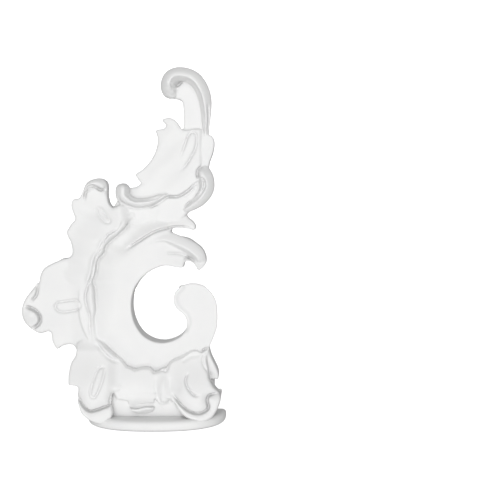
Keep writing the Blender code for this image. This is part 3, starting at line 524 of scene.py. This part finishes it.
def groove(x, y, line, width, depth):
    """A soft channel along a line, for a face to be lowered by."""
    gap, _ = distance_to(x, y, smooth(line, False))
    return depth * np.exp(-((gap / width) ** 2))


def frill_gap(x, y):
    return distance_to(x, y, smooth(FRILL_TOP[:-1] + FRILL_SIDE[:-1] + FRILL_FOOT, False))[0]


def body_face(x, y, inside):
    """Flat but for a dished band along the frill, the falling claw and the hollow below the ribbon."""
    frill = frill_gap(x, y)
    reach = 13 + 9 * ease((345 - y) / 60)
    near = np.clip(1 - (frill - 2) / reach, 0.0, 1.0) ** 2
    dip = (3.0 + 4.6 * ease((330 - y) / 60)) * near * ease((218 - x) / 40)
    claw = 8.0 * ease((x - 150) / 48) * ease((278 - y) / 24)
    under_ribbon = 6.5 * ease((y - 236) / -30)
    ball = groove(x, y, BALL_RIM, 1.8, 1.6)
    cove = groove(x, y, COVE, 8.0, 4.0)
    return FLAT - np.maximum(dip, claw) - under_ribbon - cove - ball - 1.5 * (1 - shoulder(inside, 2.0))


def ball_undercut(x, y):
    """The wall of the ball that ends the body turns in under it, so that its outline is its face's edge."""
    share = ease((y - 278) / 6) * ease((x - 178) / 10) * ease((x - 2 * (y - 330) - 150) / 20)
    neck = ease((x - 204) / 8)
    return -0.17 * np.maximum(x - 192, 0.0) * share - 1.0 * neck, 0.17 * np.minimum(y - 312, 0.0) * share


def foot_undercut(x, y):
    """The upper wall of the right foot's last turn, drawn in so that only a thin shadow of it shows."""
    share = ease((x - 205) / 5) * ease((y - 376) / 4) * ease((396 - y) / 4)
    return -1.0 * share, -4.5 * share


def lip(frill, height):
    """The rolled rim that the leaves carry along the frilled line."""
    return height * np.exp(-(((frill - 3.2) / 2.4) ** 2))


def leaf_side_face(x, y, inside):
    frill = frill_gap(x, y)
    fold = 2.0 * ease(1 - np.hypot(x - 96, y - 190) / 24)
    ribs = 0.5 * np.cos((y - 0.35 * x) * 0.30) * ease((frill - 6) / 10)
    end = 7.0 * ease((x - 118) / 14) * ease((226 - y) / 12)
    rise = 6.5 * ease(1 - (frill - 5) / 32)
    return 10.5 + 1.5 * shoulder(inside, 3) + rise + fold + ribs + lip(frill, 2.0) - end


def lobe_face(x, y, inside):
    frill = frill_gap(x, y)
    swell = 2.5 * ease(1 - np.abs(y - 304) / 44)
    rise = 4.0 * ease(1 - (frill - 6) / 20)
    bead = 2.5 * ease(1 - np.hypot(x - 31, y - 316) / 9)
    return 11.0 + 2.0 * shoulder(inside, 3) + swell + rise + bead + lip(frill, 1.5)


def foot_middle_face(x, y, inside):
    rib = 1.8 * np.exp(-(((x - 163) / 3.0) ** 2)) - 1.4 * np.exp(-(((np.abs(x - 163) - 7) / 2.2) ** 2))
    return 18.5 + 2.0 * shoulder(inside, 3) + 9.5 * ease((y - 352) / 40) + rib * ease((y - 374) / 10)


def foot_left_face(x, y, inside):
    fall = ease((y - 342) / 56)
    crown = ease(1 - np.abs(x - 94 + 0.15 * (y - 380)) / 44)
    crease = groove(x, y, FOOT_LEFT_CREASE, 4.5, 2.5)
    rim = lip(frill_gap(x, y), 2.5) * ease((372 - y) / 12)
    face = 14.5 + 1.5 * shoulder(inside, 3) + (6 + 16 * fall) * (0.68 + 0.32 * crown) - crease + rim
    merge = ease((x - 106) / 14) * ease((394 - y) / 12)
    face = face * (1 - merge) + foot_middle_face(x, y, inside) * merge
    upper = ease((352 - y) / 16)
    return face * (1 - upper) + lobe_face(x, y, 6.0) * upper


def foot_right_face(x, y, inside):
    fall = ease((y - 348) / 56)
    crown = ease(1 - np.abs(x - 192) / 44)
    crease = groove(x, y, FOOT_RIGHT_CREASE, 4.5, 2.5)
    ridge = groove(x, y, FOOT_RIGHT_FOLD, 2.0, 1.2)
    face = 15 + 3 * shoulder(inside, 3) + (3 + 17 * fall) * (0.68 + 0.32 * crown) - crease - ridge
    merge = ease((184 - x) / 14) * ease((398 - y) / 12)
    return face * (1 - merge) + foot_middle_face(x, y, inside) * merge


def leaf_high_face(x, y, inside):
    rise = ease((x - 140) / 55)
    ribs = 0.5 * np.cos((y + 0.9 * x) * 0.22)
    side = 6.0 * ease((x - 198) / 9)
    return 8.0 + 1.5 * shoulder(inside, 4) + 4.5 * rise + ribs * ease(inside / 8) - side


def ribbon_face(x, y, inside):
    return 10.0 + 2.0 * shoulder(inside, 5)


def curl_face(x, y, inside):
    """The end of the middle leaf turns in under itself and comes out again as a short lip."""
    under = 30.5 - 7.0 * ease((y - 397) / 14)
    edge = 407.6 + 1.2 * np.cos((x - 136) * 0.24)
    return np.where(y < edge, under, 31.0 - 4.0 * ease((y - edge - 2) / 5))


def flat(height):
    return lambda x, y, inside: height - 1.2 * (1 - shoulder(inside, 2))


# Each roll is (ridge, rise, its run), and the run goes through (x, y, depth of its middle, radius).
ROLLS = [
    # the top curl and its stalk
    (0.35, 1.6, [(177.5, 91.8, 9, 7), (171, 91, 10.5, 8.4), (168, 83, 12, 7.2), (172.2, 76, 12.5, 6.9),
                 (181.5, 73.9, 12.5, 6.8), (192.7, 77.3, 12.5, 6.8), (200.4, 85.6, 12, 6.6),
                 (205.2, 98, 11.5, 6.2), (206.5, 112, 11, 4.9), (206.2, 126, 10.5, 3.6), (206, 137, 9.5, 2)]),
    # the ribbon's lower curl, round to its end at the left
    (0.35, 1.6, [(170, 195, 11, 2), (161, 198, 12, 3.6), (148, 203, 12.5, 5), (134, 203.4, 13, 5.4),
                 (123.2, 197, 13.5, 6.8), (122.4, 191, 14, 7), (122.8, 183, 14, 7)]),
    # the ribbon's right curl
    (-0.35, 1.5, [(184, 211, 11, 2.4), (192.5, 206, 12, 4.6), (201.2, 198.8, 13.5, 6.2),
                  (206.9, 189, 14, 7.1), (206.6, 179, 13, 7.4), (203.8, 173, 11.5, 7.4),
                  (199, 168, 10, 6.6)]),
    # the small curl at the lobe's edge
    (0.0, 1.2, [(39.8, 283, 11, 2.4), (36.2, 289, 11.5, 2.8), (32.2, 295, 12, 3.2), (29.8, 301, 11.5, 3)]),
    # the turned-over top of the upper leaf
    (0.0, 1.2, [(87, 193, 11, 3.6), (89.5, 186.5, 12, 4.6), (96.6, 183.8, 12.5, 5.2), (102.3, 185.6, 12, 4.4),
                (103.9, 193, 11, 3), (104.6, 202, 9.5, 2.2)]),
    # the lower strand down to its claw
    (0.4, 1.1, [(126, 262, 11, 5), (137, 250.5, 12.5, 5.8), (150, 241.5, 13.5, 6.6), (163, 237, 14, 6.6),
                (177, 241.3, 13.5, 6.6), (189.5, 247, 13, 6.8), (198, 253.8, 12.5, 6.6), (201, 261, 12, 4.8),
                (199.4, 268, 10, 2)]),
]

PILL_SIDE = [
    (54.7, 307), (57, 303), (62, 301.8), (75.5, 300.2), (79.2, 303), (79.6, 307.5), (75, 310.5), (60, 311.9),
]
PILL_FOOT = [
    (90, 394), (92, 385), (95.5, 375), (99, 368.5), (103, 367.5), (104.2, 371.5), (102, 381), (98.5, 391),
    (94.5, 397.7), (91.2, 397.5),
]
POD_HIGH = [
    (180, 158), (182.8, 150), (185.4, 143), (188, 136), (192, 131.8), (196, 134.5), (196.7, 141),
    (195.4, 148),
    (191.6, 156), (186.6, 164), (180, 171),
]

# Each stroke is (line, whether it closes, half its width, height; below zero it is cut in).
STROKES = [
    (PILL_SIDE, True, 1.8, -2.5),
    (PILL_FOOT, True, 1.9, -2.4),
    (POD_HIGH, False, 1.8, -2.7),
    (LIP_SIDE, False, 1.8, -3.0),
    (LIP_FOOT, False, 2.6, -2.2),
    (FRILL_FOOT, False, 1.3, -3.6),
    (FOOT_LEFT_CREASE, False, 1.8, -6.5),
    (FOOT_RIGHT_CREASE, False, 1.8, -6.5),
    # the crease above the lower strand, and the fold in its claw
    ([(127, 249), (133, 245), (140, 240.5), (147, 236), (152, 233), (158, 230.5), (165, 228.6), (171, 227.2),
      (178, 226.8), (185, 227), (192, 228.4)], False, 1.9, -4.6),
    ([(167, 253), (180, 254), (186, 256.4), (192, 259.3)], False, 1.8, -2.6),
    ([(184.5, 261), (187, 257.8), (191, 259), (194.6, 263)], False, 1.7, -4.0),
    # the small eyelet of the upper leaf
    ([(97, 209), (100, 217.5), (106, 222.8), (110, 221.5), (105, 214), (100.5, 208.5)], True, 1.7, -1.8),
    # inside the top curl, down its stalk
    ([(168.5, 81), (172, 84.6), (175.5, 85.8), (178.5, 84.6), (181, 81.6), (185, 80), (190, 81.6),
      (194.6, 86), (198, 91), (200.6, 97.5), (202.4, 106), (203.4, 114), (203.8, 124), (203.6, 133)],
     False, 2.0, -5.0),
    ([(208, 104), (208.6, 118), (207.6, 132)], False, 1.5, -2.6),
    # above the ribbon, then inside its right curl
    ([(124, 184), (128, 185.4), (129.4, 189), (128.6, 194), (129.8, 198), (134.5, 200.2), (145, 200.2),
      (152, 199), (158, 197), (163, 194.8)], False, 2.0, -4.8),
    ([(117.6, 196), (120, 201), (126, 205), (134, 207.8), (143, 208.2), (152, 206), (160, 201.6), (167, 197),
      (171, 196.6), (176, 196.8), (181, 195.2), (186, 192), (192, 187), (197, 182.6), (200.5, 181)],
     False, 1.9, -4.8),
    ([(202, 166), (198, 169.5), (197, 174), (198.4, 178.2)], False, 1.6, -3.6),
    ([(197.5, 177.5), (202.6, 179.2), (204.5, 184.3), (202.6, 190.7), (197.4, 197), (191, 202.2),
      (184.7, 207.3)], False, 2.2, -4.6),
    # under the turned-over top of the upper leaf
    ([(84, 200), (85.2, 193), (87.4, 187.8), (91.4, 185.8), (95.4, 187), (99.4, 189.6), (103, 189.8),
      (106.4, 187.6)], False, 1.9, -5.0),
    # the crescent round the lobe's bead and the line of the curl above it
    ([(25, 306.5), (31, 308.6), (36, 311.6), (39.6, 317), (39.4, 322.5), (36, 326.4), (32, 328.6)],
     False, 2.3, -6.5),
    ([(37.5, 285), (36.8, 292), (35, 297), (31.4, 300.4)], False, 1.9, -5.0),
    # under and beside the small curl, and the leaf's pendant beside it
    ([(130, 407.6), (137, 407), (144, 405.8), (153.6, 405)], False, 2.4, -3.5),
    ([(155.2, 399), (155, 405), (153, 411)], False, 1.6, -4.5),
    ([(158.6, 397), (160.4, 402), (164.5, 403.6), (169, 401.6), (171, 397)], False, 1.7, -1.8),
    # the end of the frill, then the half pod and the folded edge of the right foot
    ([(202, 351.6), (204.5, 349.4), (209.5, 348)], False, 1.7, -3.0),
    ([(188, 373.5), (185.4, 380), (187, 387), (190.6, 392.6), (195.4, 396.2), (199, 395.6)],
     False, 1.7, -3.6),
    ([(205.6, 353.3), (202.4, 359), (204.4, 367), (208.9, 372.8), (214.4, 375.6)], False, 1.8, -2.0),
]


def half_oval(half_width, depth, low, high, squareness, rounding, name, collection):
    """A half-oval block against the wall, sized in steps, with rounded upper and lower edges."""
    curve = bpy.data.curves.new(name, "CURVE")
    curve.dimensions = "2D"
    curve.fill_mode = "BOTH"
    curve.extrude = (high - low) / 2 - rounding
    curve.bevel_depth = rounding
    curve.bevel_resolution = 3
    half_width = half_width - rounding
    depth = depth - rounding
    sides = 44
    line = curve.splines.new("POLY")
    line.points.add(sides + 2)
    middle = foot_middle()
    for i in range(sides + 1):
        turn = math.pi * i / sides
        u = half_width * math.copysign(abs(math.cos(turn)) ** squareness, math.cos(turn))
        line.points[i + 1].co = (middle + u, -depth * math.sin(turn) ** squareness, 0.0, 1.0)
    line.points[0].co = (middle + half_width, BEHIND, 0.0, 1.0)
    line.points[sides + 2].co = (middle - half_width, BEHIND, 0.0, 1.0)
    line.use_cyclic_u = True
    mesh = from_curve(curve, collection)
    rows = corners_of(mesh)
    rows[:, 2] += (low + high) / 2
    set_corners(mesh, rows)
    turn_outward(mesh)
    return object_of(mesh, name, collection)


def foot_blocks(collection):
    low = -(FOOT_BELOW_EYE + ORIGIN_V)
    high = low + FOOT_THICKNESS / STEP
    drum_high = high + DRUM_RISE / STEP
    rounding = FOOT_ROUNDING * FOOT_THICKNESS / STEP
    size = (FOOT_HALF_WIDTH / STEP, FOOT_DEPTH / STEP)
    ledge = half_oval(*size, low, high, FOOT_SQUARENESS, rounding, "ledge", collection)
    size = (DRUM_HALF_WIDTH / STEP, DRUM_DEPTH / STEP)
    drum = half_oval(*size, low + 1.0, drum_high, DRUM_SQUARENESS, 0.0, "drum", collection)
    return ledge, drum, low


def block(low_corner, high_corner, name, collection):
    shape = bmesh.new()
    bmesh.ops.create_cube(shape, size=1.0)
    for corner in shape.verts:
        corner.co = [
            low_corner[i] + (corner.co[i] + 0.5) * (high_corner[i] - low_corner[i]) for i in range(3)
        ]
    mesh = bpy.data.meshes.new(name)
    shape.to_mesh(mesh)
    shape.free()
    return object_of(mesh, name, collection)


def boolean(holder, cutter, operation):
    change = holder.modifiers.new(cutter.name, "BOOLEAN")
    change.operation = operation
    change.object = cutter
    change.solver = "MANIFOLD"


def carving(collection):
    """All slabs and rolls fused and engraved, in steps."""
    meshes = [
        slab(BODY, FLAT, body_face, collection, ball_undercut),
        slab(LEAF_SIDE, LEAF_SIDE_RIM, leaf_side_face, collection),
        slab(LOBE, LOBE_RIM, lobe_face, collection),
        slab(FOOT_LEFT, FOOT_RIM, foot_left_face, collection),
        slab(FOOT_MIDDLE, FOOT_RIM, foot_middle_face, collection),
        slab(FOOT_RIGHT, FOOT_RIGHT_RIM, foot_right_face, collection, foot_undercut),
        slab(FOLD_RIGHT, FOLD_RIM, flat(FOLD_RIM), collection),
        slab(LEAFLET, LEAFLET_RIM, flat(LEAFLET_RIM), collection),
        slab(CURL_UNDER, CURL_RIM, curl_face, collection),
        slab(STRAP, STRAP_RIM, flat(STRAP_RIM), collection),
        slab(LEAF_HIGH, LEAF_HIGH_RIM, leaf_high_face, collection),
        slab(RIBBON, RIBBON_RIM, ribbon_face, collection),
    ]
    for ridge, rise, points in ROLLS:
        meshes.append(roll(ridge, rise, points, collection))
    fused = remeshed(joined(meshes), FUSE_SIZE, collection)
    outer_shell(fused)
    engraved(fused, STROKES)
    fused = remeshed(fused, FUSE_SIZE, collection)
    rows = corners_of(fused)
    rows[:, 1] *= BODY_DEPTH / STEP / FLAT
    set_corners(fused, rows)
    return fused


def foot_middle():
    return float(place(FOOT_CENTRE_X, FOOT_LEVEL_Y, 0.0)[0])


def to_row_frame(mesh, low):
    """Steps from the wall become metres from the middle of the foot's underside."""
    rows = (corners_of(mesh) - np.array([foot_middle(), 0.0, low])) * STEP
    rows[:, 1] += FOOT_DEPTH / 2
    set_corners(mesh, rows)


# The look. Lengths are in metres and light is in Blender's own units.
GRAIN_EVENED = 0.5  # share by which each corner of the skin moves to its neighbours' middle
SHARP_ANGLE = math.radians(48)  # edges sharper than this stay sharp, as at the foot and the back
MOTTLE_SCALE = 38.0
MOTTLE_DARK = (0.725, 0.726, 0.725, 1.0)
MOTTLE_LIGHT = (0.755, 0.755, 0.75, 1.0)
ROUGH_LEAST = 0.5
ROUGH_MOST = 0.62
GRAIN_SCALE = 900.0
GRAIN_DEPTH = 0.0002
LUMP_SCALE = 120.0
LUMP_DEPTH = 0.0006
CREASE_REACH = 0.005  # how near the walls of a crease are, for the painted shade in creases
CREASE_PAINTED_SHADE = 0.8  # the painted shade in a deep crease: its tone against 1 on an open face
WHITE = (1.0, 1.0, 1.0, 1.0)
PAPER_WHITE = (0.93, 0.93, 0.93, 1.0)
PAPER_GLOW = 0.85
WORLD_SEEN = 0.99  # the plain white past the paper
WORLD_FRONT = 1.63  # the narrow cap of soft light in front
WORLD_AROUND = 0.41
CAP_MIDDLE = -0.95  # where the cap is full, as Y of the direction
CAP_EDGE = -0.5  # where it has faded out
KEY_POWER = 5.1
KEY_FROM_EYE = Vector((-0.05, -0.35, -0.22))
KEY_SIZE = (0.7, 0.6)
BACK_POWER = 5.5
BACK_PLACE = (-0.09, 1.1, 0.02)
BACK_SIZE = (0.1, 0.1)
KEY_AIM = (-0.04, 0.0, 0.15)
BACK_AIM = (-0.03, 0.0, 0.15)
SENSOR = 36.0  # millimetres across the film
IMAGE = 500  # pixels, and sheet units, across the picture
FLOOR_FRONT = -3.0
FLOOR_BACK = 1.2
BEND = 0.8  # radius where the paper turns up
BEND_STEPS = 8
PAPER_HEIGHT = 4.0
PAPER_HALF_WIDTH = 4.0
FLOOR_GAP = 0.001  # below the foot's underside


def evened(mesh):
    """Takes down the grain left by fusing."""
    shape = bmesh.new()
    shape.from_mesh(mesh)
    bmesh.ops.smooth_vert(
        shape, verts=shape.verts, factor=GRAIN_EVENED, use_axis_x=True, use_axis_y=True, use_axis_z=True
    )
    shape.to_mesh(mesh)
    shape.free()


def triangle_count(mesh):
    return sum(len(face.vertices) - 2 for face in mesh.polygons)


def skin():
    """The fine carved skin that stands for the CAD solid."""
    work = bpy.data.collections.new("work")
    bpy.context.scene.collection.children.link(work)
    mesh = carving(work)
    evened(mesh)
    solid = object_of(mesh, "carving", work)
    fewer = solid.modifiers.new("fewer", "DECIMATE")
    fewer.ratio = min(1.0, TRIANGLES / triangle_count(mesh))
    ledge, drum, low = foot_blocks(work)
    boolean(solid, drum, "UNION")
    boolean(solid, ledge, "UNION")
    boolean(solid, block((-ROOM, -ROOM, low), (ROOM, 0.0, ROOM), "room", work), "INTERSECT")
    finished = evaluated(solid)
    to_row_frame(finished, low)
    for item in list(work.objects):
        bpy.data.objects.remove(item)
    bpy.data.collections.remove(work)
    finished.polygons.foreach_set("use_smooth", [True] * len(finished.polygons))
    finished.set_sharp_from_angle(angle=SHARP_ANGLE)
    return finished


def noise(nodes, scale, detail):
    made = nodes.new("ShaderNodeTexNoise")
    made.inputs["Scale"].default_value = scale
    made.inputs["Detail"].default_value = detail
    return made


def bump(nodes, strength, distance):
    made = nodes.new("ShaderNodeBump")
    made.inputs["Strength"].default_value = strength
    made.inputs["Distance"].default_value = distance
    return made


def cast_white():
    """Matte white cast finish: faintly mottled, finely grained, and darkened by painted shade down in its
    creases.
    """
    made = bpy.data.materials.new("cast_white")
    made.use_nodes = True
    nodes = made.node_tree.nodes
    links = made.node_tree.links
    shader = nodes["Principled BSDF"]
    shader.inputs["Specular IOR Level"].default_value = 0.35
    where = nodes.new("ShaderNodeTexCoord")
    mottle = noise(nodes, MOTTLE_SCALE, 4.0)
    grain = noise(nodes, GRAIN_SCALE, 3.0)
    lumps = noise(nodes, LUMP_SCALE, 2.0)
    for texture in (mottle, grain, lumps):
        links.new(where.outputs["Object"], texture.inputs["Vector"])

    tint = nodes.new("ShaderNodeValToRGB")
    dark, light = tint.color_ramp.elements
    dark.position = 0.3
    dark.color = MOTTLE_DARK
    light.position = 0.7
    light.color = MOTTLE_LIGHT
    links.new(mottle.outputs["Fac"], tint.inputs["Fac"])

    # painted shade: ambient occlusion darkens the base colour in creases, down to CREASE_PAINTED_SHADE of its
    # open tone
    openness = nodes.new("ShaderNodeAmbientOcclusion")
    openness.samples = 8
    openness.inputs["Distance"].default_value = CREASE_REACH
    crease = nodes.new("ShaderNodeMapRange")
    crease.inputs["From Min"].default_value = 0.3
    crease.inputs["From Max"].default_value = 0.85
    crease.inputs["To Min"].default_value = CREASE_PAINTED_SHADE
    links.new(openness.outputs["AO"], crease.inputs["Value"])
    shaded_tint = nodes.new("ShaderNodeMix")
    shaded_tint.data_type = "RGBA"
    shaded_tint.blend_type = "MULTIPLY"
    shaded_tint.inputs["Factor"].default_value = 1.0
    links.new(tint.outputs["Color"], shaded_tint.inputs["A"])
    links.new(crease.outputs["Result"], shaded_tint.inputs["B"])
    links.new(shaded_tint.outputs["Result"], shader.inputs["Base Color"])

    sheen = nodes.new("ShaderNodeMapRange")
    sheen.inputs["To Min"].default_value = ROUGH_LEAST
    sheen.inputs["To Max"].default_value = ROUGH_MOST
    links.new(mottle.outputs["Fac"], sheen.inputs["Value"])
    links.new(sheen.outputs["Result"], shader.inputs["Roughness"])

    broad = bump(nodes, 0.06, LUMP_DEPTH)
    fine = bump(nodes, 0.08, GRAIN_DEPTH)
    links.new(lumps.outputs["Fac"], broad.inputs["Height"])
    links.new(grain.outputs["Fac"], fine.inputs["Height"])
    links.new(broad.outputs["Normal"], fine.inputs["Normal"])
    links.new(fine.outputs["Normal"], shader.inputs["Normal"])
    return made


def area_light(name, place_at, aim, size, power):
    data = bpy.data.lights.new(name, "AREA")
    data.shape = "RECTANGLE"
    data.size, data.size_y = size
    data.energy = power
    made = bpy.data.objects.new(name, data)
    bpy.context.scene.collection.objects.link(made)
    made.location = place_at
    made.rotation_euler = (Vector(aim) - Vector(place_at)).to_track_quat("-Z", "Y").to_euler()
    made.visible_camera = False


def studio_world():
    """Soft light, brightest from the front, and plain white where the camera looks past the paper."""
    world = bpy.data.worlds.new("studio")
    world.use_nodes = True
    nodes = world.node_tree.nodes
    links = world.node_tree.links
    soft = nodes["Background"]
    soft.inputs["Color"].default_value = WHITE
    where = nodes.new("ShaderNodeTexCoord")
    split = nodes.new("ShaderNodeSeparateXYZ")
    level = nodes.new("ShaderNodeMapRange")
    level.interpolation_type = "SMOOTHSTEP"
    level.inputs["From Min"].default_value = CAP_MIDDLE
    level.inputs["From Max"].default_value = CAP_EDGE
    level.inputs["To Min"].default_value = WORLD_FRONT
    level.inputs["To Max"].default_value = WORLD_AROUND
    white = nodes.new("ShaderNodeBackground")
    white.inputs["Color"].default_value = WHITE
    white.inputs["Strength"].default_value = WORLD_SEEN
    path = nodes.new("ShaderNodeLightPath")
    mix = nodes.new("ShaderNodeMixShader")
    links.new(where.outputs["Generated"], split.inputs["Vector"])
    links.new(split.outputs["Y"], level.inputs["Value"])
    links.new(level.outputs["Result"], soft.inputs["Strength"])
    links.new(path.outputs["Is Camera Ray"], mix.inputs["Fac"])
    links.new(soft.outputs["Background"], mix.inputs[1])
    links.new(white.outputs["Background"], mix.inputs[2])
    links.new(mix.outputs["Shader"], nodes["World Output"].inputs["Surface"])
    bpy.context.scene.world = world


def paper_white():
    made = bpy.data.materials.new("paper")
    made.use_nodes = True
    shader = made.node_tree.nodes["Principled BSDF"]
    shader.inputs["Base Color"].default_value = PAPER_WHITE
    shader.inputs["Roughness"].default_value = 0.9
    shader.inputs["Emission Color"].default_value = WHITE
    shader.inputs["Emission Strength"].default_value = PAPER_GLOW
    return made


def paper_profile(low):
    """The paper seen from its side, as (y, z): flat, a quarter turn, then straight up."""
    points = [(FLOOR_FRONT, low), (FLOOR_BACK, low)]
    for i in range(1, BEND_STEPS + 1):
        turn = i * math.pi / 2 / BEND_STEPS
        points.append((FLOOR_BACK + math.sin(turn) * BEND, low + BEND - math.cos(turn) * BEND))
    points.append((FLOOR_BACK + BEND, low + PAPER_HEIGHT))
    return points


def backdrop(low):
    """A pale sweep of paper: a floor below the ornament that turns up into a wall behind it."""
    curve = bpy.data.curves.new("sweep", "CURVE")
    curve.dimensions = "2D"
    curve.extrude = PAPER_HALF_WIDTH
    line = curve.splines.new("POLY")
    profile = paper_profile(low)
    line.points.add(len(profile) - 1)
    for point, (y, z) in zip(line.points, profile):
        point.co = (y, z, 0.0, 1.0)
    holder = bpy.data.objects.new("sweep_curve", curve)
    bpy.context.scene.collection.objects.link(holder)
    mesh = bpy.data.meshes.new_from_object(holder)
    bpy.data.objects.remove(holder)
    rows = corners_of(mesh)
    set_corners(mesh, np.stack([rows[:, 2], rows[:, 0], rows[:, 1]], axis=1))
    mesh.polygons.foreach_set("use_smooth", [True] * len(mesh.polygons))
    mesh.materials.clear()
    mesh.materials.append(paper_white())
    made = bpy.data.objects.new("sweep", mesh)
    bpy.context.scene.collection.objects.link(made)
    made.visible_diffuse = False
    made.visible_glossy = False
    return made


def camera_at(eye):
    data = bpy.data.cameras.new("camera")
    data.sensor_width = SENSOR
    data.lens = SENSOR * FOCUS / IMAGE
    data.clip_start = 0.01
    made = bpy.data.objects.new("camera", data)
    bpy.context.scene.collection.objects.link(made)
    made.location = eye
    made.rotation_euler = (math.pi / 2 - TILT, 0.0, 0.0)
    bpy.context.scene.camera = made


mesh = skin()
mesh.materials.clear()
mesh.materials.append(cast_white())
piece = bpy.data.objects.new("carved_skin", mesh)
bpy.context.scene.collection.objects.link(piece)
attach(piece, "root")
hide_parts("scroll_ornament")

eye = Vector((float(-ORIGIN_U) - foot_middle(), -EYE_DISTANCE, FOOT_BELOW_EYE)) * STEP
eye.y += FOOT_DEPTH / 2
camera_at(eye)

sweep = backdrop(CAD_BOX[0][2] - FLOOR_GAP)

studio_world()
area_light("front", eye + KEY_FROM_EYE, KEY_AIM, KEY_SIZE, KEY_POWER)
area_light("behind", BACK_PLACE, BACK_AIM, BACK_SIZE, BACK_POWER)
bpy.context.scene.view_settings.view_transform = "Standard"
